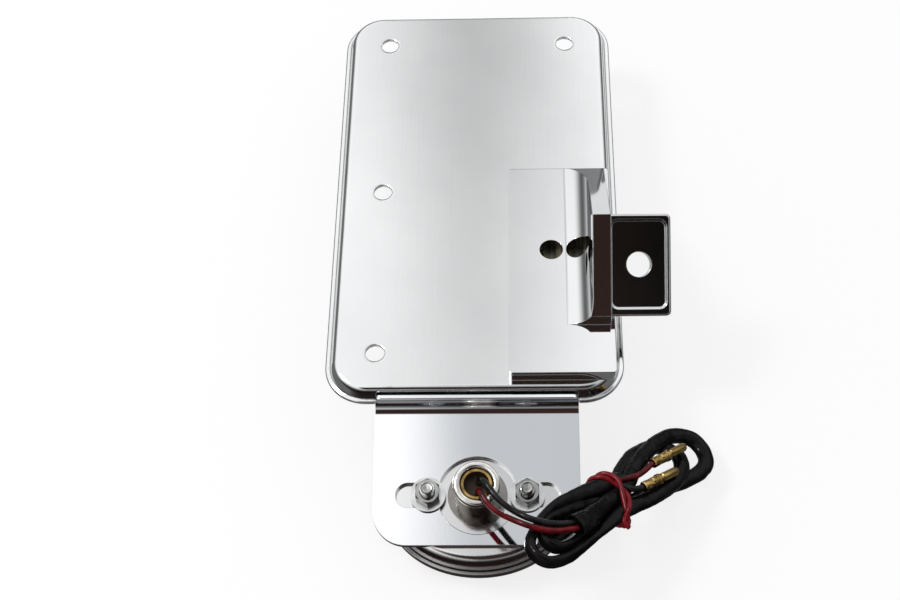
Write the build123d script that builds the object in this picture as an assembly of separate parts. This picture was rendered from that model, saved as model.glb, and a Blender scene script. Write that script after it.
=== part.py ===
"""Side mount license plate holder for a motorbike: a chrome pan that backs the plate, a welded side bracket
with a bolt flange, a small lamp on its own bracket, and the lamp's lead tied into a hank.

Everything is drawn in millimetres in the pan's own frame: X across the pan, Y along it (the lamp is at -Y),
Z out of the pan's back. At the end it is moved so that the flange's bolt hole is the origin.
"""
import os
from math import cos, pi, radians, sin, tan

from build123d import *

os.makedirs("parts", exist_ok=True)

# Pan that backs the plate. The plate is 4 by 7 inches, so its screws are 2 3/4 by 5 3/4 inches apart
INCH = 25.4
HOLE_X = 2.75 * INCH / 2
HOLE_Y = 5.75 * INCH / 2
MIDDLE_HOLE_Y = -1.3
PAN_HOLE_R = 3.45
PAN_FLAT_W = 98.4
PAN_FLAT_H = 176.2
PAN_FLARE_X = 2.8
PAN_FLARE_Y = 1.6
PAN_FOOT_W = PAN_FLAT_W + 2 * PAN_FLARE_X
PAN_FOOT_H = PAN_FLAT_H + 2 * PAN_FLARE_Y
PAN_CENTRE_Y = 0.15
PAN_DEPTH = 6.6
PAN_SHEET = 1.2
PAN_FLAT_CORNER = 12.0
PAN_FOOT_CORNER = 14.0
PAN_SHOULDER_R = 2.0
PAN_INNER_R = 1.16
BEAD_OUT = 0.9
BEAD_TALL = 1.8
BEAD_R = 0.7

# Side bracket: base plate, upright with a ramp profile, and the tilted flange
BASE_W = 37.2
BASE_L = 89.8
BASE_PAST_FLAT = 0.5
BASE_UP = 3.25
BASE_THICK = 5.0
BASE_CORNER = 1.2
BASE_HOLE_R = 4.2
BASE_HOLE_UP = 52.4
BASE_HOLES_IN = (21.8, 12.2)
UPRIGHT_IN = 1.3
UPRIGHT_THICK = 6.4
COVE_R = 9.0
FLANGE_TILT = 34.0
FLANGE_TURN = 6.0
FLANGE_W = 27.6
FLANGE_H = 35.8
FLANGE_THICK = 4.5
FLANGE_UP = 19.7
FLANGE_STAND = 10.0
FLANGE_CORNER = 1.8
FLANGE_EDGE_R = 0.8
FLANGE_HOLE_AT = (16.4, 18.2)
FLANGE_HOLE_R = 4.4
POCKET_LEFT = 6.2
POCKET_RIGHT = 1.4
POCKET_LOW = 2.5
POCKET_TOP = 1.8
POCKET_CORNER = 2.8
POCKET_DEEP = 0.9
POCKET_SLOPE = 35.0

# Lamp bracket: a bent sheet, its shelf sloping away from the pan
SHELF_SLOPE = 11.5
SHEET = 2.0
FOLD_OUT = 1.52
LAMP_X = 1.4
LAMP_REACH = 32.2
SHELF_X = (-35.8, 35.2)
SHELF_REACH = 49.8
SHELF_CORNER = 11.5
EAR_TOP = -1.1
EAR_SHEET = 1.4
EAR_CORNER = 2.0
FOLD_OVERLAP = 0.84
LAMP_OPENING_R = 13.7
SLOT_HALF = 28.1
SLOT_W = 8.7

# Lamp housing and lens, in the shelf's frame: z = 0 is the shelf's upper face
OVAL_A = 31.0
OVAL_B = 23.4
HOUSING_WALL = 1.4
HOUSING_FOOT = -14.0
HOUSING_R = 3.0
BOSS_R = 2.9
BOSS_IN = 4.2
BOSS_X = OVAL_A - BOSS_IN
GASKET_THICK = 1.2
GASKET_W = 2.4
LENS_FLANGE = 1.8
LENS_GAP = 0.2
DOME_IN_A = 7.6
DOME_IN_B = 4.8
DOME_A = OVAL_A - DOME_IN_A
DOME_B = OVAL_B - DOME_IN_B
DOME_DEEP = 4.4
DOME_NARROW = 2.8
DOME_R = 1.2
LENS_WALL = 1.5
BEZEL_GAP = 0.3
BEZEL_WALL = 1.1
BEZEL_OVERLAP = 1.4
BEZEL_LIP = 0.2
LENS_SCREW_R = 1.4
LENS_SCREW_HEAD_R = 2.5
LENS_SCREW_HEAD = 1.6
LENS_SCREW_HEAD_EDGE = 0.8
LENS_SCREW_SLOT_W = 0.7
LENS_SCREW_SLOT_DEEP = 0.7
LENS_SCREW_GRIP = 6.0
SCREW_GAP = 0.25

# Lamp studs with their nuts and washers
STUD_X = 17.0
STUD_R = 2.5
STUD_TOP = 9.0
STUD_HEAD_R = 4.0
STUD_HEAD = 2.6
STUD_CLEAR = 0.3
STUD_END = 0.6
WASHER_R = 6.05
WASHER_THICK = 1.0
NUT_AF = 8.0
NUT_THICK = 4.0
NUT_CROWN = 4.4

# Bulb holder: a tube through the housing's back with a rolled rim on top
TUBE_R = 7.2
TUBE_WALL = 1.5
TUBE_BORE_R = TUBE_R - TUBE_WALL
TUBE_LOW = -9.0
RIM_OUT = 0.8
RIM_R = TUBE_R + RIM_OUT
RIM_LOW = 11.4
RIM_TOP = 14.5
RIM_LIP = 0.3
RIM_HOLE_R = TUBE_BORE_R - RIM_LIP
RIM_ROLL = 1.1
RIM_LAP = 1.2
TUBE_FLANGE_OUT = 3.1
TUBE_FLANGE = 0.9
TUBE_CLEAR = 0.3
EYELET_GAP = 0.5
EYELET_WALL = 0.8
EYELET_Z = (8.8, 13.6)
INSULATOR_GAP = 0.4
INSULATOR_Z = (6.0, 8.0)
SPRING_R = 2.3
SPRING_WIRE_R = 0.35
SPRING_Z = (2.5, 5.3)
SPRING_PITCH = 1.2
PAD_R = 3.0
PAD_Z = (1.2, 1.9)
BULB_BASE_GAP = 0.5
BULB_BASE_EDGE = 0.5
BULB_BASE_Z = (-8.4, 1.0)
GLASS_IN = 0.6
GLASS_WALL = 0.6
GLASS_INNER_ROUND = 0.7
GLASS_Z = -16.2
FILAMENT_R = 0.3
FILAMENT_POST = 4.2
FILAMENT_SPAN = 2.0

# Wires and the tied hank. The hank lies on a plane that leans on the shelf's edge
BLACK_R = 1.1
RED_R = 1.0
BLACK_IN_TUBE = (0.6, 1.8, 8.3)
BLACK_OVER_RIM = (1.2, 2.2, 17.0)
BLACK_BESIDE = (7.6, -7.4, 17.9)
RED_IN_TUBE = (0.2, -2.2, 8.3)
RED_OVER_RIM = (0.5, -1.6, 16.5)
RED_BESIDE = (4.6, -9.8, 17.2)
BLACK_ON_HANK = [(-13.0, -6.0, 0.8), (-6.5, -11.0, 0.5), (0.0, -13.4, 0.2), (5.2, -13.8, 0.0)]
RED_ON_HANK = [(-15.4, -9.2, 0.8), (-9.6, -14.2, 0.4), (-3.0, -16.4, 0.2), (3.2, -15.9, 0.0)]
RUN_SHARE = 0.45
HANK_FROM = (20.6, -9.38, 13.02)
HANK_TO = (76.6, 25.62, -14.98)
HANK_THICK = 6.2
HANK_EDGE_R = 2.2
HANK_OUTLINE = [(-14.9, -14.5), (-12.9, -9.0), (-5.5, -3.5), (2.0, -0.6), (10.1, 1.0), (19.0, 0.8),
                (26.0, 0.4), (32.0, 0.9), (40.9, 6.1), (53.7, 10.5), (64.0, 10.8), (71.9, 8.5), (77.1, 2.5),
                (74.9, -5.0), (64.7, -12.0), (51.9, -16.0), (40.8, -18.1), (32.2, -16.6), (26.5, -16.2),
                (17.1, -19.0), (5.9, -22.7), (-4.0, -24.8), (-10.6, -23.9), (-14.5, -19.5)]
BAND_U = 29.0
BAND_V = (-16.9, 1.0)
BAND_WIRE_R = 1.2
BAND_ROUND = 0.45
SEAT = 0.3
TAIL_RED = [(31.0, -7.4), (38.8, -6.2), (46.4, -2.8)]
TAIL_BLACK = [(31.0, -10.6), (33.6, -10.9), (36.4, -10.2)]
PLUG_RED_DIR = (18.5, 2.5)
PLUG_BLACK_DIR = (15.5, 1.6)
PLUG_R = 2.35
PLUG_COLLAR_R = 2.6
PLUG_BARREL = 7.0
PLUG_COLLAR = 1.2
PLUG_NECK_R = 1.7
PLUG_NECK = 1.2
PLUG_TIP_R = 2.05
PLUG_TIP_ROUND = 0.9
PLUG_LENGTH = 17.5
PLUG_GAP = 0.4


def unit(v):
    return v * (1 / v.length)


# The three local frames: flange, lamp shelf, hank
tilt, turn, slope = radians(FLANGE_TILT), radians(FLANGE_TURN), radians(SHELF_SLOPE)
base_high_x = PAN_FLAT_W / 2 + BASE_PAST_FLAT
base_x = (base_high_x - BASE_W, base_high_x)
base_low_y = PAN_CENTRE_Y - PAN_FLAT_H / 2 + BASE_UP
base_y = (base_low_y, base_low_y + BASE_L)
upright_x = (base_high_x - UPRIGHT_IN - UPRIGHT_THICK, base_high_x - UPRIGHT_IN)
flange_low = Vector(upright_x[0], base_low_y + FLANGE_UP, FLANGE_STAND)
flange_up = Vector(0, cos(tilt), sin(tilt))
flange_face = Vector(0, -sin(tilt), cos(tilt))
flange_across = Vector(1, 0, 0) * cos(turn) - flange_face * sin(turn)
flange_out = unit(flange_across.cross(flange_up))
flange_plane = Plane(origin=flange_low, x_dir=flange_across, z_dir=flange_out)

shelf_out = Vector(0, -sin(slope), cos(slope))
shelf_down = Vector(0, -cos(slope), -sin(slope))
fold_y = PAN_CENTRE_Y - PAN_FOOT_H / 2 - FOLD_OUT
fold_z = -PAN_DEPTH
lamp_origin = Vector(LAMP_X, fold_y, fold_z) + shelf_down * LAMP_REACH
lamp_plane = Plane(origin=lamp_origin, x_dir=(1, 0, 0), z_dir=shelf_out)

hank_from, hank_to = lamp_origin + Vector(*HANK_FROM), lamp_origin + Vector(*HANK_TO)
hank_along = unit(hank_to - hank_from)
hank_across = unit(Vector(-(hank_to - hank_from).Y, (hank_to - hank_from).X, 0))
hank_plane = Plane(origin=hank_from, x_dir=hank_along, z_dir=hank_along.cross(hank_across))

flange_hole = flange_plane.from_local_coords(Vector(*FLANGE_HOLE_AT, -FLANGE_THICK / 2))
parts = {}


def slab(sketch, low, high):
    """The sketch as a solid between two heights."""
    return extrude(Pos(0, 0, low) * sketch, high - low)


def disc(radius, low, high, x=0.0, y=0.0):
    """A round piece between two heights."""
    return Pos(x, y, (low + high) / 2) * Cylinder(radius, high - low)


def ring(outer, inner, low, high, x=0.0, y=0.0):
    return disc(outer, low, high, x, y) - disc(inner, low, high, x, y)


def oval(grow):
    return Ellipse(OVAL_A + grow, OVAL_B + grow)


# Pan: a pressed tray, its wall flaring down to a rolled bead
def pan_outline(w, h, corner, grow, z=0.0):
    """The pan's outline with rounded corners, grown or shrunk all round."""
    return Pos(0, PAN_CENTRE_Y, z) * RectangleRounded(w + 2 * grow, h + 2 * grow, corner + grow)


def tray(inset, top, foot, shoulder_r):
    upper = pan_outline(PAN_FLAT_W, PAN_FLAT_H, PAN_FLAT_CORNER, -inset, top)
    lower = pan_outline(PAN_FOOT_W, PAN_FOOT_H, PAN_FOOT_CORNER, -inset, foot)
    solid = loft([lower, upper])
    return fillet(solid.faces().sort_by(Axis.Z)[-1].edges(), shoulder_r)


bead = slab(pan_outline(PAN_FOOT_W, PAN_FOOT_H, PAN_FOOT_CORNER, BEAD_OUT),
            -PAN_DEPTH, -PAN_DEPTH + BEAD_TALL)
bead = fillet(bead.edges().filter_by(Axis.Z, reverse=True), BEAD_R)
ear_low_x, ear_high_x = LAMP_X + SHELF_X[0], LAMP_X + SHELF_X[1]
notch_y = PAN_CENTRE_Y - PAN_FOOT_H / 2
bead -= Pos((ear_low_x + ear_high_x) / 2, notch_y - BEAD_OUT, -PAN_DEPTH) * Box(
    ear_high_x - ear_low_x + 2 * SEAT, 2 * BEAD_OUT, 2 * PAN_DEPTH)
pan = tray(0, 0, -PAN_DEPTH, PAN_SHOULDER_R) + bead - tray(PAN_SHEET, -PAN_SHEET, -PAN_DEPTH, PAN_INNER_R)
for hole_x, hole_y in ((-HOLE_X, HOLE_Y), (HOLE_X, HOLE_Y), (-HOLE_X, MIDDLE_HOLE_Y), (-HOLE_X, -HOLE_Y)):
    pan -= disc(PAN_HOLE_R, -PAN_DEPTH, PAN_DEPTH, hole_x, hole_y)
parts["plate_pan"] = pan

# Side bracket: one casting of base, ramp-shaped upright with a cove at its foot, and flange
base = slab(Pos(sum(base_x) / 2, sum(base_y) / 2) * RectangleRounded(BASE_W, BASE_L, BASE_CORNER),
            0, BASE_THICK)
apex = flange_low + flange_up * FLANGE_H
ramp = make_face(Polyline((base_y[1], BASE_THICK), (apex.Y, apex.Z), (flange_low.Y, flange_low.Z),
                          (flange_low.Y, 0), (base_y[1], 0), close=True))
ramp_plane = Plane(origin=(0, 0, 0), x_dir=(0, 1, 0), z_dir=(1, 0, 0))


def ramp_slab(x_low, x_high):
    return extrude(ramp_plane.offset(x_low) * ramp, x_high - x_low)


upright = ramp_slab(*upright_x)
cove_x, cove_z = upright_x[0] - COVE_R, BASE_THICK + COVE_R
cove_long = 2 * BASE_L
cove = Pos((cove_x + upright_x[0]) / 2, sum(base_y) / 2, BASE_THICK + COVE_R / 2) * Box(
    COVE_R, cove_long, COVE_R)
cove -= Pos(cove_x, sum(base_y) / 2, cove_z) * Rot(90, 0, 0) * Cylinder(COVE_R, cove_long)
cove = cove & ramp_slab(cove_x, upright_x[0])
flange = slab(Pos(FLANGE_W / 2, FLANGE_H / 2) * Rectangle(FLANGE_W, FLANGE_H), -FLANGE_THICK, 0)
flange = fillet(flange.edges().filter_by(Axis.Z).sort_by(Axis.X)[-2:], FLANGE_CORNER)
flange = fillet(flange.faces().sort_by(Axis.Z)[-1].edges(), FLANGE_EDGE_R)
pocket_w, pocket_h = FLANGE_W - POCKET_LEFT - POCKET_RIGHT, FLANGE_H - POCKET_LOW - POCKET_TOP
pocket = RectangleRounded(pocket_w, pocket_h, POCKET_CORNER)
pocket = Pos(POCKET_LEFT + pocket_w / 2, POCKET_LOW + pocket_h / 2) * pocket
flange -= extrude(pocket, -POCKET_DEEP, taper=POCKET_SLOPE)
flange_bore = disc(FLANGE_HOLE_R, -2 * FLANGE_THICK, FLANGE_THICK, *FLANGE_HOLE_AT)
bracket = base + upright + cove + flange_plane.location * flange - flange_plane.location * flange_bore
for hole_in in BASE_HOLES_IN:
    bracket -= disc(BASE_HOLE_R, 0, cove_z, base_high_x - hole_in, base_low_y + BASE_HOLE_UP)
parts["side_bracket"] = bracket

# Lamp bracket: the ear against the pan's end wall, the shelf with a round opening and two slots
shelf_w, shelf_x = SHELF_X[1] - SHELF_X[0], sum(SHELF_X) / 2
shelf = slab(Pos(shelf_x, LAMP_REACH - SHELF_REACH / 2) * Rectangle(shelf_w, SHELF_REACH), -SHEET, 0)
shelf = fillet(shelf.edges().filter_by(Axis.Z).sort_by(Axis.Y)[:2], SHELF_CORNER)
shelf += Pos(shelf_x, LAMP_REACH, -SHEET / 2) * Box(shelf_w, 2 * FOLD_OVERLAP, SHEET)
shelf -= disc(LAMP_OPENING_R, -SHEET, SHEET)
shelf -= slab(SlotOverall(2 * SLOT_HALF, SLOT_W), -SHEET, SHEET)
ear_plane = Plane(origin=(LAMP_X + shelf_x, fold_y, 0), x_dir=(1, 0, 0), z_dir=(0, -1, 0))
ear_low = fold_z - SHEET
ear = extrude(ear_plane * Pos(0, (EAR_TOP + ear_low) / 2) * Rectangle(shelf_w, EAR_TOP - ear_low), -EAR_SHEET)
ear = fillet(ear.edges().filter_by(Axis.Y).sort_by(Axis.Z)[-2:], EAR_CORNER)
parts["lamp_bracket"] = lamp_plane.location * shelf + ear

# Lamp housing: an oval cup with two screw bosses, holes for the tube and the studs
cup = slab(oval(0), HOUSING_FOOT, -SHEET)
cup = fillet(cup.faces().sort_by(Axis.Z)[-1].edges(), HOUSING_R)
hollow = slab(oval(-HOUSING_WALL), HOUSING_FOOT, -SHEET - HOUSING_WALL)
hollow = fillet(hollow.faces().sort_by(Axis.Z)[-1].edges(), HOUSING_R - HOUSING_WALL)
cup -= hollow
for side in (-1, 1):
    boss = disc(BOSS_R, HOUSING_FOOT, -SHEET - HOUSING_WALL / 2, side * BOSS_X)
    boss = boss & slab(oval(-HOUSING_WALL / 2), HOUSING_FOOT, 0)
    cup += boss - disc(LENS_SCREW_R + SCREW_GAP, HOUSING_FOOT, -SHEET - 2 * HOUSING_WALL, side * BOSS_X)
    cup -= disc(STUD_R + STUD_CLEAR, HOUSING_FOOT, 0, side * STUD_X)
cup -= disc(TUBE_R + TUBE_CLEAR, HOUSING_FOOT, 0)
lamp = {"lamp_housing": cup}

gasket_low = HOUSING_FOOT - GASKET_THICK
gasket = slab(oval(0), gasket_low, HOUSING_FOOT) - slab(oval(-GASKET_W), gasket_low, HOUSING_FOOT)
lens_top = gasket_low - LENS_GAP
lens_low = lens_top - LENS_FLANGE
lens = slab(oval(0), lens_low, lens_top)


def bowl(inset, top, low):
    """The lens's dome: an oval that narrows downwards."""
    wide = Pos(0, 0, top) * Ellipse(DOME_A - inset, DOME_B - inset)
    narrow = Pos(0, 0, low) * Ellipse(DOME_A - inset - DOME_NARROW, DOME_B - inset - DOME_NARROW)
    return loft([narrow, wide])


lens += fillet(bowl(0, lens_low + LENS_GAP, lens_low - DOME_DEEP).faces().sort_by(Axis.Z)[0].edges(), DOME_R)
lens -= bowl(LENS_WALL, lens_top, lens_low - DOME_DEEP + LENS_WALL)
screws = []
for side in (-1, 1):
    x = side * BOSS_X
    gasket -= disc(LENS_SCREW_R + SCREW_GAP, gasket_low, HOUSING_FOOT, x)
    lens -= disc(LENS_SCREW_R + SCREW_GAP, lens_low, lens_top, x)
    head_top = lens_low - SCREW_GAP
    head = disc(LENS_SCREW_HEAD_R, head_top - LENS_SCREW_HEAD, head_top, x)
    head = fillet(head.edges().sort_by(Axis.Z)[:1], LENS_SCREW_HEAD_EDGE)
    slot_cut = Pos(x, 0, head_top - LENS_SCREW_HEAD) * Box(
        2 * LENS_SCREW_HEAD_R, LENS_SCREW_SLOT_W, 2 * LENS_SCREW_SLOT_DEEP)
    screws.append(head + disc(LENS_SCREW_R, head_top, HOUSING_FOOT + LENS_SCREW_GRIP, x) - slot_cut)
lamp["lamp_gasket"] = gasket
lamp["lamp_lens"] = lens
lamp["lens_screws"] = Compound(screws)
bezel_low, bezel_top = lens_low + BEZEL_LIP, HOUSING_FOOT + BEZEL_OVERLAP
bezel = slab(oval(BEZEL_GAP + BEZEL_WALL), bezel_low, bezel_top) - slab(oval(BEZEL_GAP), bezel_low, bezel_top)
lamp["lamp_bezel"] = bezel

# Studs through the housing's back and the shelf's slots, with washers and nuts above
studs, nuts, washers = [], [], []
stud_seat = -SHEET - HOUSING_WALL - SCREW_GAP
washer_low = SCREW_GAP
nut_low = washer_low + WASHER_THICK + SCREW_GAP
for side in (-1, 1):
    x = side * STUD_X
    shank = disc(STUD_R, stud_seat, STUD_TOP, x)
    shank = chamfer(shank.edges().sort_by(Axis.Z)[-1:], STUD_END)
    studs.append(shank + disc(STUD_HEAD_R, stud_seat - STUD_HEAD, stud_seat, x))
    washers.append(ring(WASHER_R, STUD_R + SCREW_GAP, washer_low, washer_low + WASHER_THICK, x))
    nut_top = nut_low + NUT_THICK
    hexagon = Pos(x, 0) * RegularPolygon(NUT_AF / 2, 6, major_radius=False, rotation=30)
    hexagon = slab(hexagon, nut_low, nut_top)
    crown = Pos(x, 0, (nut_low + nut_top) / 2) * Cone(NUT_AF / 2 + NUT_CROWN, NUT_AF / 2, NUT_THICK)
    nuts.append((hexagon & crown) - disc(STUD_R + SCREW_GAP, nut_low, nut_top, x))
lamp["lamp_studs"] = Compound(studs)
lamp["stud_nuts"] = Compound(nuts)
lamp["stud_washers"] = Compound(washers)

# Bulb holder, from the rolled rim down to the bulb
rim = fillet(ring(RIM_R, RIM_HOLE_R, RIM_LOW, RIM_TOP).edges().filter_by(GeomType.CIRCLE), RIM_ROLL)
tube = ring(TUBE_R, TUBE_BORE_R, TUBE_LOW, RIM_LOW + RIM_LAP) + rim
flange_seat = -SHEET + SCREW_GAP
tube += ring(TUBE_R + TUBE_FLANGE_OUT, TUBE_BORE_R, flange_seat, flange_seat + TUBE_FLANGE)
lamp["bulb_holder"] = tube
eyelet_r = TUBE_BORE_R - EYELET_GAP
lamp["holder_eyelet"] = ring(eyelet_r, eyelet_r - EYELET_WALL, *EYELET_Z)
lamp["holder_insulator"] = disc(TUBE_BORE_R - INSULATOR_GAP, *INSULATOR_Z)
spring_path = Pos(0, 0, SPRING_Z[0]) * Helix(SPRING_PITCH, SPRING_Z[1] - SPRING_Z[0], SPRING_R)
spring_start = Plane(origin=spring_path @ 0, z_dir=spring_path % 0)
lamp["contact_spring"] = sweep(spring_start * Circle(SPRING_WIRE_R), path=spring_path, is_frenet=True)
lamp["contact_pad"] = disc(PAD_R, *PAD_Z)
bulb_base_r = TUBE_BORE_R - BULB_BASE_GAP
lamp["bulb_base"] = fillet(disc(bulb_base_r, *BULB_BASE_Z).edges(), BULB_BASE_EDGE)
glass_top = BULB_BASE_Z[0] - LENS_GAP
glass_r, inner_r = bulb_base_r - GLASS_IN, bulb_base_r - GLASS_IN - GLASS_WALL
glass = disc(glass_r, GLASS_Z, glass_top)
glass = fillet(glass.edges().sort_by(Axis.Z)[:1], inner_r)
inner_glass = disc(inner_r, GLASS_Z + GLASS_WALL, glass_top)
inner_glass = fillet(inner_glass.edges().sort_by(Axis.Z)[:1], inner_r - GLASS_INNER_ROUND)
lamp["bulb_glass"] = glass - inner_glass
posts = disc(FILAMENT_R, glass_top - FILAMENT_POST, glass_top, -FILAMENT_SPAN)
posts += disc(FILAMENT_R, glass_top - FILAMENT_POST, glass_top, FILAMENT_SPAN)
posts += Pos(0, 0, glass_top - FILAMENT_POST) * Rot(0, 90, 0) * Cylinder(
    FILAMENT_R, 2 * FILAMENT_SPAN + 2 * FILAMENT_R)
lamp["bulb_filament"] = posts
for name, shape in lamp.items():
    parts[name] = lamp_plane.location * shape


# Wires: plain round tubes through the route's points, each corner rounded from its shorter run
def wire(name, points, radius):
    points = [Vector(p) for p in points]
    runs = [b - a for a, b in zip(points, points[1:])]
    radii = []
    for before, after in zip(runs, runs[1:]):
        turn_angle = radians(before.get_angle(after))
        radii.append(RUN_SHARE * min(before.length, after.length) / tan(turn_angle / 2))
    path = FilletPolyline(*points, radius=radii if len(radii) > 1 else radii[0])
    solid = sweep(Plane(origin=path @ 0, z_dir=path % 0) * Circle(radius), path=path)
    print(name, "length", round(path.length, 1), "bend radii", [round(r, 1) for r in radii],
          "volume against section x length", round(solid.volume / (pi * radius ** 2 * path.length), 3))
    parts[name] = solid


def on_lamp(p):
    return lamp_plane.from_local_coords(Vector(*p))


def on_hank(u, v, w=0.0):
    return hank_plane.from_local_coords(Vector(u, v, w))


hank = extrude(hank_plane * make_face(Spline(*HANK_OUTLINE, periodic=True)), HANK_THICK / 2, both=True)
hank = fillet(hank.edges(), HANK_EDGE_R)
parts["wire_sleeve_hank"] = hank

# The leads out of the lamp run over the hank's end to where its sleeve begins
hank_top = HANK_THICK / 2 + SEAT
for name, from_lamp, over_hank, radius in (
        ("lead_black", (BLACK_IN_TUBE, BLACK_OVER_RIM, BLACK_BESIDE), BLACK_ON_HANK, BLACK_R),
        ("lead_red", (RED_IN_TUBE, RED_OVER_RIM, RED_BESIDE), RED_ON_HANK, RED_R)):
    points = [on_lamp(p) for p in from_lamp]
    points += [on_hank(u, v, hank_top + radius + lift) for u, v, lift in over_hank]
    wire(name, points, radius)

# Red band round the hank's waist
band_gap = SEAT + BAND_WIRE_R
band_w = BAND_V[1] - BAND_V[0] + 2 * band_gap
band_h = HANK_THICK + 2 * band_gap
band_plane = Plane(origin=on_hank(BAND_U, sum(BAND_V) / 2), x_dir=hank_across, z_dir=hank_along)
band_path = band_plane.location * RectangleRounded(band_w, band_h, band_h * BAND_ROUND).wire()
band_start = Plane(origin=band_path @ 0, z_dir=band_path % 0)
parts["tie_band"] = sweep(band_start * Circle(BAND_WIRE_R), path=band_path)

# Wire tails out of the sleeve, lying on the hank, each crimped into a brass bullet plug
def plug(name, start, direction):
    place = Plane(origin=start, z_dir=direction, x_dir=hank_plane.z_dir)
    at = PLUG_BARREL
    body = disc(PLUG_R, 0, at) + disc(PLUG_COLLAR_R, at, at + PLUG_COLLAR)
    at += PLUG_COLLAR
    body += disc(PLUG_NECK_R, at, at + PLUG_NECK)
    at += PLUG_NECK
    body += fillet(disc(PLUG_TIP_R, at, PLUG_LENGTH).edges(), PLUG_TIP_ROUND)
    parts[name] = place.location * body


for colour, route, direction, radius in (("red", TAIL_RED, PLUG_RED_DIR, RED_R),
                                         ("black", TAIL_BLACK, PLUG_BLACK_DIR, BLACK_R)):
    low, high = hank_top + radius, hank_top + PLUG_COLLAR_R
    heights = (low, (2 * low + high) / 3, high)
    points = [on_hank(u, v, w) for (u, v), w in zip(route, heights)]
    wire("tail_" + colour, points, radius)
    plug_dir = unit(hank_along * direction[0] + hank_across * direction[1])
    plug("plug_" + colour, points[-1] + plug_dir * PLUG_GAP, plug_dir)

# Move everything so that the flange's hole is the origin, then write one file per piece
for name, shape in parts.items():
    export_step(Pos(*(-flange_hole)) * shape, f"parts/{name}.step")
    print(name, "solids", len(shape.solids()), "volume", round(shape.volume, 1), "valid", shape.is_valid)
print("flange hole", [round(c, 3) for c in flange_hole], "axis", [round(c, 4) for c in flange_out])
print("lamp origin", [round(c, 3) for c in lamp_origin], "shelf normal", [round(c, 4) for c in shelf_out])
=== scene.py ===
# %% [markdown]
# # A side mount license plate holder, dressed in Blender
# The CAD model gives every hard part its exact shape and place. Here it is loaded as a fixed frame.
# Each surface then gets its real finish, and the soft or fine pieces, which CAD draws plainly, are
# modelled anew: the wiring, its sleeve, the tie, the bullet plugs, the threaded studs and the rubber
# gasket. One more piece fills a fold that CAD leaves sharp.

# %% Load the frame and keep its box
import math

import bpy
import bmesh
from mathutils import Matrix, Vector


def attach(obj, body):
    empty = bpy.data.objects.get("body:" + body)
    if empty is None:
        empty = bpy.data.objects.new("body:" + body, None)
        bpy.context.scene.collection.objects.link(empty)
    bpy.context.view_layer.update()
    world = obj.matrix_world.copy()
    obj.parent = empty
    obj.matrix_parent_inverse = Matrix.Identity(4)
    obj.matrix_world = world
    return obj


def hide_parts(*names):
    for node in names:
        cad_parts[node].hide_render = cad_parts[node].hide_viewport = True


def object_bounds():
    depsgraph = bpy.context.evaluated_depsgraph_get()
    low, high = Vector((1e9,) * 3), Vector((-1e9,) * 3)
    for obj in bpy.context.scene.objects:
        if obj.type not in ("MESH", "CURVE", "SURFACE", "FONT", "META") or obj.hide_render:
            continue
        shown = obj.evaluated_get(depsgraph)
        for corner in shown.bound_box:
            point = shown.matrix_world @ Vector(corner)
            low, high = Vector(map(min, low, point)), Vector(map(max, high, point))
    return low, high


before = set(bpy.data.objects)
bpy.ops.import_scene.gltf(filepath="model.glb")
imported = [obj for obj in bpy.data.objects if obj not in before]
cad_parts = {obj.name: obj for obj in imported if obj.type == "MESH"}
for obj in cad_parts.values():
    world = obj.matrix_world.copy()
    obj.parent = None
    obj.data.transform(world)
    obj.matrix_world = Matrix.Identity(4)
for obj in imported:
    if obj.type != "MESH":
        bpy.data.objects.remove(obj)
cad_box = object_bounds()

MM = 0.001
print("CAD nodes:", sorted(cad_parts))
print("CAD box in metres:", [[round(c, 4) for c in corner] for corner in cad_box])

# %% [markdown]
# ## The camera
# The picture is taken from above the lamp end, looking up along the pan at 34 degrees from straight
# down. A long lens (67 mm on a 36 mm sensor) gives the gentle perspective. The numbers come from
# fitting the pan's four corners and its holes to the photograph.

# %% Camera at the photograph's viewing angle
CAMERA_PLACE = (-0.04093, -0.33933, 0.47931)
CAMERA_TURN = (34.14, 2.325, 0.978)
CAMERA_LENS = 66.64
CAMERA_SENSOR = 36.0
CAMERA_NEAREST = 0.01

camera_data = bpy.data.cameras.new("camera")
camera = bpy.data.objects.new("camera", camera_data)
bpy.context.scene.collection.objects.link(camera)
camera.location = CAMERA_PLACE
camera.rotation_euler = [math.radians(a) for a in CAMERA_TURN]
camera_data.lens = CAMERA_LENS
camera_data.sensor_width = CAMERA_SENSOR
camera_data.clip_start = CAMERA_NEAREST
bpy.context.scene.camera = camera
bpy.context.scene.view_settings.view_transform = "Standard"
print("camera looks from", [round(c, 3) for c in camera.location])

# %% [markdown]
# ## Two local frames
# The lamp bracket's shelf slopes, and the tied hank of wire leans on its edge. Their shapes are
# easier to say in their own frames, in millimetres: on the shelf, z = 0 is its upper face; on the
# hank, u runs along it, v across it and w out of it.

# %% Local frames of the lamp and of the hank
LAMP_AT = (-56.675, -74.9215, -29.9206)
SHELF_SLOPE = math.radians(11.5)
HANK_AT = (-36.075, -84.301, -16.901)
HANK_ALONG = (0.78072, 0.48795, -0.39036)
HANK_ACROSS = (-0.53, 0.848, 0.0)
HANK_OUT = (0.33102, 0.20689, 0.92066)


def frame_matrix(origin, x_axis, y_axis, z_axis):
    turned = Matrix((x_axis, y_axis, z_axis)).transposed().to_4x4()
    return Matrix.Translation(Vector(origin) * MM) @ turned @ Matrix.Scale(MM, 4)


SHELF_UP = (0, -math.sin(SHELF_SLOPE), math.cos(SHELF_SLOPE))
LAMP = frame_matrix(LAMP_AT, (1, 0, 0), (0, math.cos(SHELF_SLOPE), math.sin(SHELF_SLOPE)), SHELF_UP)
HANK = frame_matrix(HANK_AT, HANK_ALONG, HANK_ACROSS, HANK_OUT)


def lamp_point(x, y, z):
    return LAMP @ Vector((x, y, z))


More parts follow.
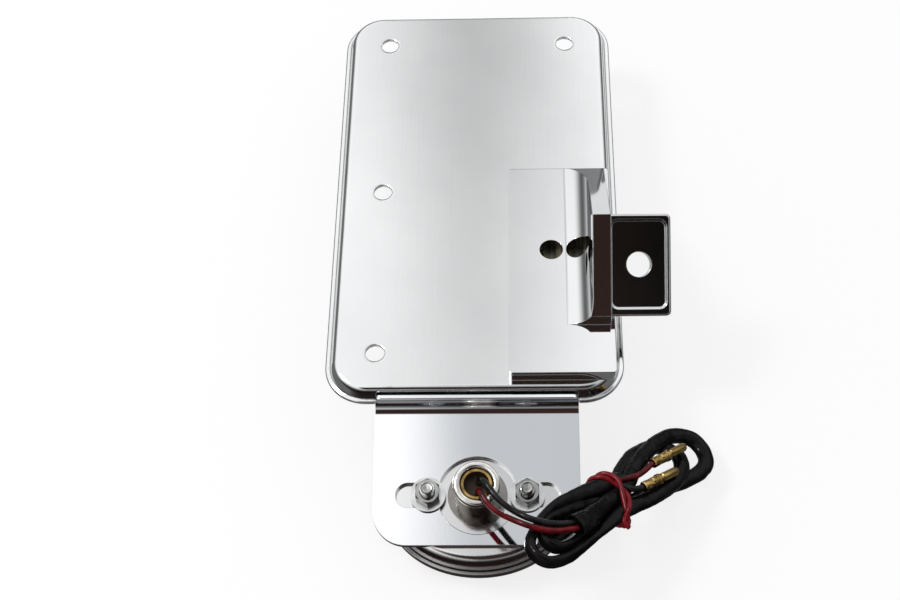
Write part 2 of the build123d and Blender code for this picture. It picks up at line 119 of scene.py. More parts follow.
def hank_point(u, v, w):
    return HANK @ Vector((u, v, w))


print("lamp frame starts at", [round(c, 4) for c in lamp_point(0, 0, 0)])

# %% [markdown]
# ## Wires as smooth curves
# A wire bends in one flowing line. A NURBS spline whose control points are the route's own points
# gives just that, so each wire is one spline with a round bevel. The same spline without its bevel
# is a plain line, and the length of that line is the wire's.

# %% A wire along a route's points
def nurbs_curve(name, points, resolution=16):
    curve = bpy.data.curves.new(name, "CURVE")
    curve.dimensions = "3D"
    curve.resolution_u = resolution
    spline = curve.splines.new("NURBS")
    spline.points.add(len(points) - 1)
    for control, place in zip(spline.points, points):
        control.co = (*place, 1.0)
    spline.order_u = 3
    spline.use_endpoint_u = True
    piece = bpy.data.objects.new(name, curve)
    bpy.context.scene.collection.objects.link(piece)
    return piece


def round_wire(name, points, radius_mm, resolution=16, roundness=5):
    wire = nurbs_curve(name, points, resolution)
    wire.data.bevel_depth = radius_mm * MM
    wire.data.bevel_resolution = roundness
    wire.data.use_fill_caps = True
    return wire


# %% The line of a curve and its length
def spline_path(curve_object):
    """The points of a curve with no bevel, as Blender evaluates it."""
    bare = curve_object.copy()
    curve = bare.data = curve_object.data.copy()
    curve.bevel_depth = 0.0
    mesh = bpy.data.meshes.new_from_object(bare)
    path = [v.co.copy() for v in mesh.vertices]
    bpy.data.objects.remove(bare)
    bpy.data.curves.remove(curve)
    bpy.data.meshes.remove(mesh)
    return path


def path_length(path):
    return sum((b - a).length for a, b in zip(path, path[1:]))


def length_in_mm(wire):
    return round(path_length(spline_path(wire)) / MM, 1)


# %% [markdown]
# ## The two lamp leads
# One black and one red lead rise out of the bulb holder's tube, bend over its rim and run beside it
# to the sleeve's mouth. Their points repeat the CAD route, so they lie where their solids are, and
# go a few millimetres on into the sleeve.

# %% Lamp leads
HANK_HALF_THICK = 3.1
SEAT = 0.3
BLACK_R = 1.1
RED_R = 1.0
BLACK_AT_LAMP = [(0.6, 1.8, 8.3), (1.2, 2.2, 17.0), (7.6, -7.4, 17.9)]
BLACK_ON_HANK = [(-13.0, -6.0, 0.8), (-6.5, -11.0, 0.5), (0.0, -13.4, 0.2), (5.2, -13.8, 0.0)]
RED_AT_LAMP = [(0.2, -2.2, 8.3), (0.5, -1.6, 16.5), (4.6, -9.8, 17.2)]
RED_ON_HANK = [(-15.0, -8.0, 0.6), (-8.6, -12.8, 0.2), (-2.0, -15.4, 0.1), (3.8, -15.8, 0.0)]


def lead_points(at_lamp, on_hank, radius):
    rest = HANK_HALF_THICK + SEAT + radius
    return ([lamp_point(*p) for p in at_lamp]
            + [hank_point(u, v, rest + lift) for u, v, lift in on_hank])


black_points = lead_points(BLACK_AT_LAMP, BLACK_ON_HANK, BLACK_R)
red_points = lead_points(RED_AT_LAMP, RED_ON_HANK, RED_R)
wire_black = round_wire("wire_black", black_points, BLACK_R)
wire_red = round_wire("wire_red", red_points, RED_R)
for wire in (wire_black, wire_red):
    print(wire.name, "is", length_in_mm(wire), "mm long")

# %% [markdown]
# ## The sleeve's hank
# A soft black tube covers both wires. It is flattened where it lies on itself, turns on edge in the
# two loops at the lamp's side, and opens out at the mouth. It goes round five times under the tie.
# A spline in the hank's own frame carries an oval section: each control point has its place, its
# turn about the line and its width, so the tube can lie flat in one place and stand on edge in
# another.

# %% Route of the sleeve: u, v, w in mm, turn in degrees, width against the plain tube
SLEEVE_ROUTE = [
    (3.6, -14.9, 4.3, 0, 1.50), (7.0, -14.3, 4.1, 0, 1.40), (12.0, -12.7, 3.4, 0, 1.12),
    (18.0, -10.8, 2.6, 0, 1.0), (24.0, -9.0, 2.0, 0, 1.0), (30.0, -7.9, 1.8, 0, 1.0),
    (36.0, -4.2, 1.8, 0, 1.0), (44.0, 0.8, 1.8, 0, 1.0), (52.0, 4.7, 1.6, 0, 1.0),
    (60.0, 7.2, 1.2, 10, 1.0), (67.4, 7.8, 0.8, 20, 1.0), (74.0, 5.0, 0.2, 25, 1.0),
    (75.4, -1.4, -0.2, 20, 1.0), (72.6, -7.0, -0.5, 10, 1.0), (66.0, -9.4, -0.9, 0, 1.0),
    (58.0, -9.8, -1.5, 0, 1.0), (48.0, -9.4, -1.8, 0, 1.0), (38.0, -10.2, -1.8, 0, 1.0),
    (30.0, -11.0, -1.7, 0, 1.0), (23.0, -11.8, -1.6, 10, 1.0), (14.0, -13.9, -1.0, 45, 0.95),
    (5.0, -17.2, -0.3, 80, 0.92), (-4.4, -19.4, 0.0, 90, 0.9), (-8.2, -13.6, 0.1, 90, 0.9),
    (-3.6, -7.6, 0.2, 80, 0.92), (9.0, -7.6, 0.0, 40, 0.95), (18.0, -6.2, -0.9, 10, 1.0),
    (27.0, -5.2, -1.7, 0, 1.0), (34.0, -1.9, -1.8, 0, 1.0), (41.0, 3.0, -1.9, 0, 1.0),
    (48.0, 6.4, -1.8, 0, 1.0), (55.0, 7.6, -1.9, 0, 1.0), (61.0, 6.0, -1.2, 0, 1.0),
    (63.4, 1.0, 0.4, 0, 1.0), (61.5, -4.4, 1.4, 0, 1.0), (57.0, -8.9, 1.7, 0, 1.0),
    (50.0, -11.4, 1.7, 0, 1.0), (42.0, -12.9, 1.7, 0, 1.0), (34.0, -13.6, 1.7, 0, 1.0),
    (27.0, -14.0, 1.6, 0, 1.0), (17.0, -16.8, 0.9, 30, 0.95), (6.0, -20.2, 0.2, 75, 0.92),
    (-3.3, -23.0, 0.0, 90, 0.9), (-11.0, -22.4, 0.0, 90, 0.9), (-14.4, -18.2, 0.0, 90, 0.9),
    (-13.0, -12.7, 0.0, 90, 0.9), (-8.0, -9.2, 0.0, 85, 0.9), (-2.0, -5.8, 0.1, 80, 0.92),
    (5.0, -3.8, 0.3, 60, 0.95), (15.0, -3.0, 0.9, 20, 1.0), (23.0, -2.6, 1.6, 0, 1.0),
    (29.0, -2.4, 1.8, 0, 1.0), (33.0, -2.9, 1.9, 0, 1.05),
]
SLEEVE_HALF_WIDTH = 2.9
SLEEVE_HALF_THICK = 2.0
SLEEVE_WALL = 0.55


def sleeve_spline(name, resolution):
    spline = nurbs_curve(name, [Vector(p[:3]) for p in SLEEVE_ROUTE], resolution)
    spline.data.twist_mode = "Z_UP"
    for control, (_, _, _, turn, size) in zip(spline.data.splines[0].points, SLEEVE_ROUTE):
        control.tilt = math.radians(turn)
        control.radius = size
    return spline


# %% [markdown]
# ## Starting and ending a piece
# Operators act on all that is selected, so a piece starts with nothing selected and one primitive,
# which gets its name at once. At its end its faces are made to point outwards and it is shaded
# smooth, but for edges sharper than an angle. A modifier is set up and applied in one go.

# %% Helpers for modelling
def select_only(*objects):
    bpy.ops.object.select_all(action="DESELECT")
    for each in objects:
        each.select_set(True)
    bpy.context.view_layer.objects.active = objects[0]


def start_piece(name, add_primitive, **settings):
    bpy.ops.object.select_all(action="DESELECT")
    add_primitive(**settings)
    piece = bpy.context.object
    piece.name = piece.data.name = name
    return piece


def face_outwards(piece, smooth_degrees=None):
    select_only(piece)
    bpy.ops.object.mode_set(mode="EDIT")
    bpy.ops.mesh.select_all(action="SELECT")
    bpy.ops.mesh.normals_make_consistent(inside=False)
    bpy.ops.object.mode_set(mode="OBJECT")
    if smooth_degrees is not None:
        bpy.ops.object.shade_smooth_by_angle(angle=math.radians(smooth_degrees))


def apply_modifier(piece, kind, **settings):
    select_only(piece)
    modifier = piece.modifiers.new(kind.lower(), kind)
    for key, value in settings.items():
        setattr(modifier, key, value)
    bpy.ops.object.modifier_apply(modifier=modifier.name)


# %% Oval section swept along the route
oval_section = start_piece("oval_section", bpy.ops.curve.primitive_bezier_circle_add, radius=1.0)
oval_section.data.resolution_u = 7
oval_section.scale = (SLEEVE_HALF_WIDTH, SLEEVE_HALF_THICK, 1.0)
bpy.ops.object.transform_apply(location=False, rotation=False, scale=True)

sleeve = sleeve_spline("wire_sleeve", resolution=12)
sleeve_line = [HANK @ p for p in spline_path(sleeve)]
sleeve.data.bevel_mode = "OBJECT"
sleeve.data.bevel_object = oval_section
select_only(sleeve)
bpy.ops.object.convert(target="MESH")
sleeve = bpy.context.object
sleeve.name = sleeve.data.name = "wire_sleeve"
bpy.data.objects.remove(oval_section)
print("sleeve is", round(path_length(sleeve_line) / MM), "mm long")

# %% [markdown]
# The tube's skin is not perfect: shallow creases and flats run along it. Clouds push the skin in
# and out a little, and only then does it get its real wall, so the inside follows the outside.

# %% Creases and a real wall
CREASE_SIZE = 5.0
CREASE_DEPTH = 0.55
crease_pattern = bpy.data.textures.new("sleeve_creases", "CLOUDS")
crease_pattern.noise_scale = CREASE_SIZE
crease_pattern.noise_depth = 2
apply_modifier(sleeve, "DISPLACE", texture=crease_pattern, strength=CREASE_DEPTH, mid_level=0.5,
               texture_coords="LOCAL")
apply_modifier(sleeve, "SOLIDIFY", thickness=-SLEEVE_WALL, offset=1.0)
sleeve.data.transform(HANK)
face_outwards(sleeve, 60)
print("sleeve has", len(sleeve.data.polygons), "faces")

# %% [markdown]
# ## The tails
# At the sleeve's far end each wire comes out for a short way and rises to its plug, which lies free
# on the hank. The tails are single splines again.

# %% Tails between the sleeve and the plugs
PLUG_STAND = 2.3
RED_PLUG_AT = (46.4, -2.8)
BLACK_PLUG_AT = (36.4, -10.2)


def tail(name, start, route, radius):
    low = HANK_HALF_THICK + SEAT + radius
    high = HANK_HALF_THICK + PLUG_STAND
    heights = (low, (2 * low + high) / 3, high)
    places = [hank_point(u, v, w) for (u, v), w in zip(route, heights)]
    return round_wire(name, [hank_point(*start)] + places, radius)


tail_red = tail("wire_tail_red", (30.0, -3.4, 2.4),
                [(33.5, -4.4), (39.6, -5.4), RED_PLUG_AT], RED_R)
tail_black = tail("wire_tail_black", (29.0, -3.9, 2.0),
                  [(31.6, -7.6), (33.2, -10.0), BLACK_PLUG_AT], BLACK_R)
print("tails are", length_in_mm(tail_red), "and", length_in_mm(tail_black), "mm long")

# %% [markdown]
# ## Bullet plugs
# Each wire ends in a small turned brass bullet: a barrel crimped on the wire, a collar, a neck and
# the round nose that pushes into its socket. It is drawn as a lathe part would be: a disc is
# extruded upwards ring by ring, and each new ring is scaled to its radius. The crimp is two rings
# pressed flat.

# %% Bullet plug along the hank: height, radius and flatness of each ring
PLUG_RINGS = [
    (0.0, 1.45, 1.0), (0.25, 1.80, 1.0), (1.9, 1.80, 1.0), (2.4, 1.75, 0.80), (4.2, 1.75, 0.80),
    (4.7, 1.80, 1.0), (6.6, 1.80, 1.0), (6.8, 1.65, 1.0), (7.0, 2.05, 1.0), (8.0, 2.05, 1.0),
    (8.2, 1.35, 1.0), (9.2, 1.35, 1.0), (9.5, 1.62, 1.0), (15.9, 1.62, 1.0), (16.8, 1.42, 1.0),
    (17.3, 1.0, 1.0), (17.5, 0.35, 1.0),
]
PLUG_OVERLAP = 0.2


def bullet_plug(name, tail_end, direction):
    plug = start_piece(name, bpy.ops.mesh.primitive_circle_add, vertices=40,
                       radius=PLUG_RINGS[0][1], fill_type="NGON")
    bpy.ops.object.mode_set(mode="EDIT")
    bpy.ops.mesh.select_all(action="SELECT")
    for (low, wide, flat), (high, next_wide, next_flat) in zip(PLUG_RINGS, PLUG_RINGS[1:]):
        bpy.ops.mesh.extrude_region_move(TRANSFORM_OT_translate={"value": (0, 0, high - low)})
        across = next_wide / wide
        bpy.ops.transform.resize(value=(across, across * next_flat / flat, 1.0),
                                 center_override=(0, 0, high))
    bpy.ops.object.mode_set(mode="OBJECT")
    face_outwards(plug, 28)
    along = Vector((*direction, 0.0)).normalized()
    up = Vector((0, 0, 1))
    start = Vector((*tail_end, HANK_HALF_THICK + PLUG_STAND)) + along * PLUG_OVERLAP
    turned = Matrix((up.cross(along), up, along)).transposed().to_4x4()
    plug.data.transform(HANK @ Matrix.Translation(start) @ turned)
    return plug


plug_on_red = bullet_plug("bullet_plug_red", RED_PLUG_AT, (18.5, 2.5))
plug_on_black = bullet_plug("bullet_plug_black", BLACK_PLUG_AT, (15.5, 1.6))
print("a plug has", len(plug_on_red.data.polygons), "faces")

# %% [markdown]
# ## The tie
# Two strands of red wire, twisted together, go once round all five passes of the sleeve and end in
# a small knot underneath. A loop line is laid first, and both strands wind about it as a helix.

# %% Twisted tie round the hank
TIE_STRANDS = 2
TIE_STRAND_R = 0.92
TIE_PITCH = 24.0
TIE_SPREAD = 0.95
TIE_LINE = [(24.4, -17.6, 0.6), (25.2, -16.6, 4.1), (27.4, -13.2, 4.7), (29.2, -8.0, 4.8),
            (29.0, -3.4, 4.7), (26.0, 0.2, 4.0), (24.4, 1.5, 0.6), (24.6, 0.6, -3.8),
            (25.6, -4.0, -4.6), (25.8, -11.0, -4.6), (25.0, -16.4, -3.8), (24.4, -17.6, 0.6),
            (24.6, -17.4, 2.0)]
KNOT_LINE = [(23.4, -16.6, 1.8), (22.4, -17.9, 0.8), (23.6, -19.4, 0.4), (25.6, -18.8, 1.4),
             (25.4, -17.0, 2.4), (23.6, -17.4, 2.6), (22.9, -19.0, 1.8), (24.6, -20.2, 0.8)]


def wound_strand(path, start_share):
    """One strand's points, wound as a helix about the path from that share of a turn on."""
    travelled, points = 0.0, []
    side = Vector((1, 0, 0))
    for before, here, after in zip([path[0]] + path, path, path[1:] + [path[-1]]):
        travelled += (here - before).length
        along = (after - before).normalized()
        side = (side - along * side.dot(along)).normalized()
        other = along.cross(side)
        turn = 2 * math.pi * (travelled / TIE_PITCH + start_share)
        outwards = side * math.cos(turn) + other * math.sin(turn)
        points.append(here + outwards * TIE_STRAND_R * TIE_SPREAD)
    return [HANK @ p for p in points]


def strands_to_mesh(name, lines):
    pieces = []
    for number, line in enumerate(lines):
        strand = round_wire(f"{name}_{number}", line, TIE_STRAND_R, resolution=2, roundness=3)
        select_only(strand)
        bpy.ops.object.convert(target="MESH")
        pieces.append(bpy.context.object)
    select_only(*pieces)
    bpy.ops.object.join()
    joined = bpy.context.object
    joined.name = joined.data.name = name
    bpy.ops.object.shade_smooth_by_angle(angle=math.radians(60))
    return joined


tie_guide = nurbs_curve("tie_guide", [Vector(p) for p in TIE_LINE], resolution=24)
tie_path = spline_path(tie_guide)
bpy.data.objects.remove(tie_guide)
tie_lines = [wound_strand(tie_path, number / TIE_STRANDS) for number in range(TIE_STRANDS)]
tie_lines.append([hank_point(*p) for p in KNOT_LINE])
tie = strands_to_mesh("wire_tie", tie_lines)
print("tie has", len(tie.data.polygons), "faces")

# %% [markdown]
# ## Threaded studs
# Two machine screws stand up through the bracket's slots and hold the lamp with a washer and a nut
# each. The visible tip shows its thread. A thread is one small closed profile carried round and up
# the core: Blender's Screw modifier does that. The core is a cylinder with a chamfered end, and the
# head is a disc with a rounded edge.

# %% Sizes of a stud, with the shelf's upper face at 0
STUD_X = 17.0
STUD_LOW = -3.9
STUD_TOP = 9.0
CORE_TOP = STUD_TOP - 0.1
CORE_CHAMFER = 0.35
CORE_NARROWS = 0.8
CORE_DIMPLE = 0.08
HEAD_R, HEAD_HIGH, HEAD_EDGE = 4.0, 2.6, 0.5
THREAD_PITCH = 0.8
THREAD_CREST = 2.5
THREAD_ROOT = 2.08
THREAD_LOW = 0.2
THREAD_SPARE = 0.9
THREAD_STEPS = 32
TOOTH = ((THREAD_ROOT - 0.3, 0.0), (THREAD_ROOT - 0.3, 0.66), (THREAD_ROOT + 0.02, 0.62),
         (THREAD_CREST, 0.38), (THREAD_CREST, 0.28), (THREAD_ROOT + 0.02, 0.04))
RIGHT_STUD_TURN = 2.1


# %% Core and head
def edit_faces(piece, chosen):
    """Goes into edit mode with the faces chosen by place or normal selected."""
    select_only(piece)
    bpy.ops.object.mode_set(mode="EDIT")
    bpy.ops.mesh.select_mode(type="FACE")
    bpy.ops.mesh.select_all(action="DESELECT")
    mesh = bmesh.from_edit_mesh(piece.data)
    for face in mesh.faces:
        face.select = chosen(face)
    bmesh.update_edit_mesh(piece.data)


def cylinder(name, radius, low, high):
    made = start_piece(name, bpy.ops.mesh.primitive_cylinder_add, vertices=48, radius=radius,
                       depth=high - low, location=(0, 0, (low + high) / 2))
    bpy.ops.object.transform_apply(location=True, rotation=False, scale=False)
    return made


def stud_core():
    core = cylinder("stud_core", THREAD_ROOT + 0.03, STUD_LOW, CORE_TOP)
    edit_faces(core, lambda f: f.normal.z > 0.9)
    bpy.ops.mesh.extrude_region_move(TRANSFORM_OT_translate={"value": (0, 0, CORE_CHAMFER)})
    bpy.ops.transform.resize(value=(CORE_NARROWS, CORE_NARROWS, 1.0),
                             center_override=(0, 0, CORE_TOP + CORE_CHAMFER))
    bpy.ops.mesh.inset(thickness=CORE_CHAMFER)
    bpy.ops.transform.translate(value=(0, 0, -CORE_DIMPLE))
    bpy.ops.object.mode_set(mode="OBJECT")
    return core


def stud_head():
    head = cylinder("stud_head", HEAD_R, STUD_LOW - HEAD_HIGH, STUD_LOW)
    edit_faces(head, lambda f: abs(f.normal.z) > 0.9)
    bpy.ops.mesh.bevel(offset=HEAD_EDGE, segments=3, affect="EDGES")
    bpy.ops.object.mode_set(mode="OBJECT")
    return head


# %% Thread: one tooth's outline, carried round and up
def empty_drawing(name):
    """A piece with nothing in it, in edit mode, to be drawn point by point."""
    piece = start_piece(name, bpy.ops.mesh.primitive_plane_add, size=1.0)
    bpy.ops.object.mode_set(mode="EDIT")
    mesh = bmesh.from_edit_mesh(piece.data)
    bmesh.ops.delete(mesh, geom=mesh.verts[:], context="VERTS")
    return piece, mesh


def stud_thread():
    thread, mesh = empty_drawing("stud_thread")
    ring = [mesh.verts.new((radius, 0.0, height + STUD_LOW + THREAD_LOW))
            for radius, height in TOOTH]
    for a, b in zip(ring, ring[1:] + ring[:1]):
        mesh.edges.new((a, b))
    bmesh.update_edit_mesh(thread.data)
    bpy.ops.object.mode_set(mode="OBJECT")
    turns = int((STUD_TOP - STUD_LOW - THREAD_SPARE) / THREAD_PITCH)
    apply_modifier(thread, "SCREW", axis="Z", angle=2 * math.pi, screw_offset=THREAD_PITCH,
                   iterations=turns, steps=THREAD_STEPS, render_steps=THREAD_STEPS,
                   use_merge_vertices=False)
    select_only(thread)
    bpy.ops.object.mode_set(mode="EDIT")
    bpy.ops.mesh.select_mode(type="EDGE")
    bpy.ops.mesh.select_all(action="DESELECT")
    bpy.ops.mesh.select_non_manifold()
    bpy.ops.mesh.fill_holes(sides=8)
    bpy.ops.object.mode_set(mode="OBJECT")
    face_outwards(thread)
    return thread


# %% One stud, then a copy for the other side
select_only(stud_core(), stud_head(), stud_thread())
bpy.ops.object.join()
bpy.ops.object.shade_smooth_by_angle(angle=math.radians(35))
stud_left = bpy.context.object
stud_right = stud_left.copy()
stud_right.data = stud_left.data.copy()
bpy.context.scene.collection.objects.link(stud_right)
right_place = Matrix.Translation((STUD_X, 0, 0)) @ Matrix.Rotation(RIGHT_STUD_TURN, 4, "Z")
stud_left.data.transform(LAMP @ Matrix.Translation((-STUD_X, 0, 0)))
stud_right.data.transform(LAMP @ right_place)
select_only(stud_left, stud_right)
bpy.ops.object.join()
studs = bpy.context.object
studs.name = studs.data.name = "threaded_studs"
print("studs have", len(studs.data.polygons), "faces")

# %% [markdown]
# ## The bracket's inner fold
# Sheet doesn't bend to a sharp corner. Between the ear and the shelf the metal runs in a hollow
# curve, which turns from the sky to the dark front and so shows as a black line in the chrome. It
# is a slim strip along the fold: its outline is drawn once, with the hollow as an arc, and extruded
# from side to side.

# %% Hollow strip along the fold, in the lamp's frame
FOLD_AT = 32.2
FOLD_ENDS = (-35.78, 35.18)
FOLD_R = 4.4
FOLD_STEPS = 20
FOLD_ROOT = 0.3


def fold_profile():
    """The outline as (y, z): along the hollow from shelf to ear, then back inside the metal."""
    turn = math.pi / 2 - SHELF_SLOPE
    reach = FOLD_R * math.tan(turn / 2)
    hollow = [(FOLD_AT - reach + FOLD_R * math.sin(turn * step / FOLD_STEPS),
               FOLD_R * (1 - math.cos(turn * step / FOLD_STEPS))) for step in range(FOLD_STEPS + 1)]
    top_y, top_z = hollow[-1]
    inside = [(top_y + FOLD_ROOT, top_z - FOLD_ROOT * 0.2), (FOLD_AT + FOLD_ROOT, -FOLD_ROOT),
              (FOLD_AT - reach, -FOLD_ROOT)]
    return hollow + inside


fold_strip, mesh = empty_drawing("fold_strip")
mesh.faces.new([mesh.verts.new((FOLD_ENDS[0], y, z)) for y, z in fold_profile()])
bmesh.update_edit_mesh(fold_strip.data)
bpy.ops.mesh.select_all(action="SELECT")
fold_width = FOLD_ENDS[1] - FOLD_ENDS[0]
bpy.ops.mesh.extrude_region_move(TRANSFORM_OT_translate={"value": (fold_width, 0, 0)})
bpy.ops.object.mode_set(mode="OBJECT")
face_outwards(fold_strip, 30)
fold_strip.data.transform(LAMP)
print("fold strip has", len(fold_strip.data.polygons), "faces")

# %% [markdown]
# ## The lens gasket
# A flat oval rubber ring is squeezed between the lamp's housing and its lens. It starts as a circle
# drawn out to the oval, which is extruded inwards and thickened, then its edges are rounded.

# %% Gasket from an oval line
GASKET_A, GASKET_B = 31.0, 23.4
GASKET_WIDE = 2.4
GASKET_Z = (-15.18, -14.02)
GASKET_EDGE = 0.3
GASKET_INNER = ((GASKET_A - GASKET_WIDE) / GASKET_A, (GASKET_B - GASKET_WIDE) / GASKET_B, 1.0)
gasket = start_piece("lens_gasket", bpy.ops.mesh.primitive_circle_add, vertices=128, radius=1.0)
bpy.ops.object.mode_set(mode="EDIT")
bpy.ops.mesh.select_all(action="SELECT")
bpy.ops.transform.resize(value=(GASKET_A, GASKET_B, 1.0), center_override=(0, 0, 0))
bpy.ops.transform.translate(value=(0, 0, GASKET_Z[0]))
bpy.ops.mesh.extrude_edges_move()
bpy.ops.transform.resize(value=GASKET_INNER, center_override=(0, 0, GASKET_Z[0]))
bpy.ops.object.mode_set(mode="OBJECT")
apply_modifier(gasket, "SOLIDIFY", thickness=GASKET_Z[1] - GASKET_Z[0], offset=0.0)
gasket.data.transform(Matrix.Translation((0, 0, (GASKET_Z[1] - GASKET_Z[0]) / 2)))
apply_modifier(gasket, "BEVEL", width=GASKET_EDGE, segments=3, limit_method="ANGLE",
               angle_limit=math.radians(40))
face_outwards(gasket, 35)
gasket.data.transform(LAMP)
print("gasket has", len(gasket.data.polygons), "faces")

# %% [markdown]
# ## Finishes
# Every finish is a small tree of nodes on Object coordinates. Noise at two sizes makes the colour,
# the gloss and the surface height vary as they do on the real thing. One helper adds any node with
# its numbers, colours and links, and the other helpers are made with it.

# %% Helpers for nodes
WHITE = (1.0, 1.0, 1.0)


def add_node(tree, kind, values, **settings):
    """Adds a node and sets its inputs by name or number; another node's output is linked."""
    node = tree.nodes.new("ShaderNode" + kind)
    for setting, choice in settings.items():
        setattr(node, setting, choice)
    for name, value in values.items():
        if isinstance(value, bpy.types.NodeSocket):
            tree.links.new(value, node.inputs[name])
        else:
            node.inputs[name].default_value = value
    return node


def calculated(tree, operation, *values):
    return add_node(tree, "Math", dict(enumerate(values)), operation=operation).outputs[0]


def vector_calculated(tree, operation, first, second):
    node = add_node(tree, "VectorMath", {0: first, 1: second}, operation=operation)
    return node.outputs["Value" if operation in ("DISTANCE", "DOT_PRODUCT") else "Vector"]


def mixed_colour(tree, share, first, second):
    """Goes from the first to the second, each a colour or another node's output."""
    ends = [c if isinstance(c, bpy.types.NodeSocket) else (*c, 1.0) for c in (first, second)]
    return add_node(tree, "Mix", {0: share, 6: ends[0], 7: ends[1]}, data_type="RGBA").outputs[2]


def mixed_shader(tree, share, first, second):
    return add_node(tree, "MixShader", {0: share, 1: first, 2: second}).outputs[0]


def smooth_step(tree, source, start, end):
    """0 at start, 1 at end, and smooth between them."""
    return add_node(tree, "MapRange", {"Value": source, "From Min": start, "From Max": end},
                    interpolation_type="SMOOTHSTEP").outputs["Result"]


# %% Helpers for finishes
def shader_of(finish):
    return finish.node_tree.nodes["Principled BSDF"]


def new_finish(name, metallic=0.0, roughness=0.4, more=None):
    finish = bpy.data.materials.new(name)
    finish.use_nodes = True
    for socket, value in {"Metallic": metallic, "Roughness": roughness, **(more or {})}.items():
        shader_of(finish).inputs[socket].default_value = value
    return finish


def shader_link(finish, source, socket):
    finish.node_tree.links.new(source, shader_of(finish).inputs[socket])


def linked_to(finish, socket):
    return shader_of(finish).inputs[socket].links[0].from_socket


def noise(finish, scale, detail=3.0, stretch=(1, 1, 1), offset=(0, 0, 0), turn=(0, 0, 0)):
    tree = finish.node_tree
    place = add_node(tree, "TexCoord", {}).outputs["Object"]
    mapped = add_node(tree, "Mapping", {"Vector": place, "Location": offset, "Rotation": turn,
                                        "Scale": stretch}).outputs["Vector"]
    pattern = add_node(tree, "TexNoise", {"Vector": mapped, "Scale": scale, "Detail": detail})
    return pattern.outputs["Fac"]


def ranged(finish, source, low, high, start=0.35, end=0.65):
    values = {"Value": source, "From Min": start, "From Max": end, "To Min": low, "To Max": high}
    return add_node(finish.node_tree, "MapRange", values).outputs["Result"]


def toned(finish, pattern, dark, light):
    tone = mixed_colour(finish.node_tree, ranged(finish, pattern, 0.0, 1.0), dark, light)
    shader_link(finish, tone, "Base Color")


def roughened(finish, pattern, low, high):
    shader_link(finish, ranged(finish, pattern, low, high), "Roughness")


def bumped(finish, layers, edge_round=None):
    """Lays (source, height in metres) one on another, on edges rounded by edge_round metres."""
    normal = None
    if edge_round is not None:
        rounded = add_node(finish.node_tree, "Bevel", {"Radius": edge_round}, samples=8)
        normal = rounded.outputs["Normal"]
    for source, height in layers:
        values = {"Strength": 1.0, "Distance": height, "Height": source}
        if normal is not None:
            values["Normal"] = normal
        normal = add_node(finish.node_tree, "Bump", values).outputs["Normal"]
    shader_link(finish, normal, "Normal")


# %% [markdown]
# ## Chrome
# Polished chrome shows its room. What makes it look real is what is slightly wrong with it: the
# pressed pan is a little wavy, with faint hairlines from polishing and a haze that comes and goes.
# A pressed edge is never quite sharp, so the shading rounds it by about a millimetre or less, and
# that draws its bright line.

# %% Chrome plate on pressed sheet and on the thick bracket
def chrome(name, dark, light, waves, haze, hairline=0.0000012, edge_round=0.0004):
    finish = new_finish(name, metallic=1.0)
    toned(finish, noise(finish, 14.0, 4.0), dark, light)
    roughened(finish, noise(finish, 30.0, 5.0, stretch=(1, 0.35, 1)), *haze)
    lines = noise(finish, 1500.0, 2.0, stretch=(1, 0.02, 1), turn=(0, 0, 0.06))
    cross = noise(finish, 1200.0, 2.0, stretch=(0.03, 1, 1), turn=(0, 0, 0.3))
    swell = noise(finish, 16.0, 1.0)
    bumped(finish, [(swell, waves), (lines, hairline), (cross, hairline * 0.6)], edge_round)
    return finish


LAMP_CHROME = ((0.82, 0.83, 0.85), (0.88, 0.885, 0.90), 0.00006, (0.03, 0.07))
pan_chrome = chrome("chrome_pressed_pan", (0.71, 0.72, 0.725), (0.79, 0.795, 0.80), 0.00010,
                    (0.045, 0.10), hairline=0.0000025, edge_round=0.0011)
bracket_chrome = chrome("chrome_side_bracket", (0.68, 0.69, 0.70), (0.75, 0.755, 0.76), 0.00004,
                        (0.03, 0.07))
shelf_chrome = chrome("chrome_lamp_bracket", *LAMP_CHROME)
fold_chrome = chrome("chrome_inner_fold", *LAMP_CHROME, edge_round=None)
bezel_chrome = chrome("chrome_bezel", (0.66, 0.655, 0.65), (0.76, 0.755, 0.75), 0.00003,
                      (0.30, 0.42))
housing_chrome = chrome("chrome_lamp_housing", (0.74, 0.735, 0.73), (0.84, 0.835, 0.83), 0.00006,
                        (0.08, 0.18))
print("chrome finishes ready")

# %% [markdown]
# ## Inside the bracket's holes
# Inside the two holes of the side bracket, and on the pan below them, the chrome gives way to
# painted shade: a dark, streaky, duller colour where the holes lie in shadow. The finish asks how
# far a point lies from a hole's middle, and how deep.

# %% Painted shade in the holes
BRACKET_HOLES = ((-0.03018, 0.01540), (-0.02058, 0.01540))
HOLE_SHADE_R = 0.00428
HOLE_SHADE_TOP = -0.0095
HOLE_SHADE_DARK = (0.055, 0.052, 0.040)
HOLE_SHADE_LIGHT = (0.20, 0.19, 0.15)
HOLE_SHADE_ROUGHNESS = 0.42


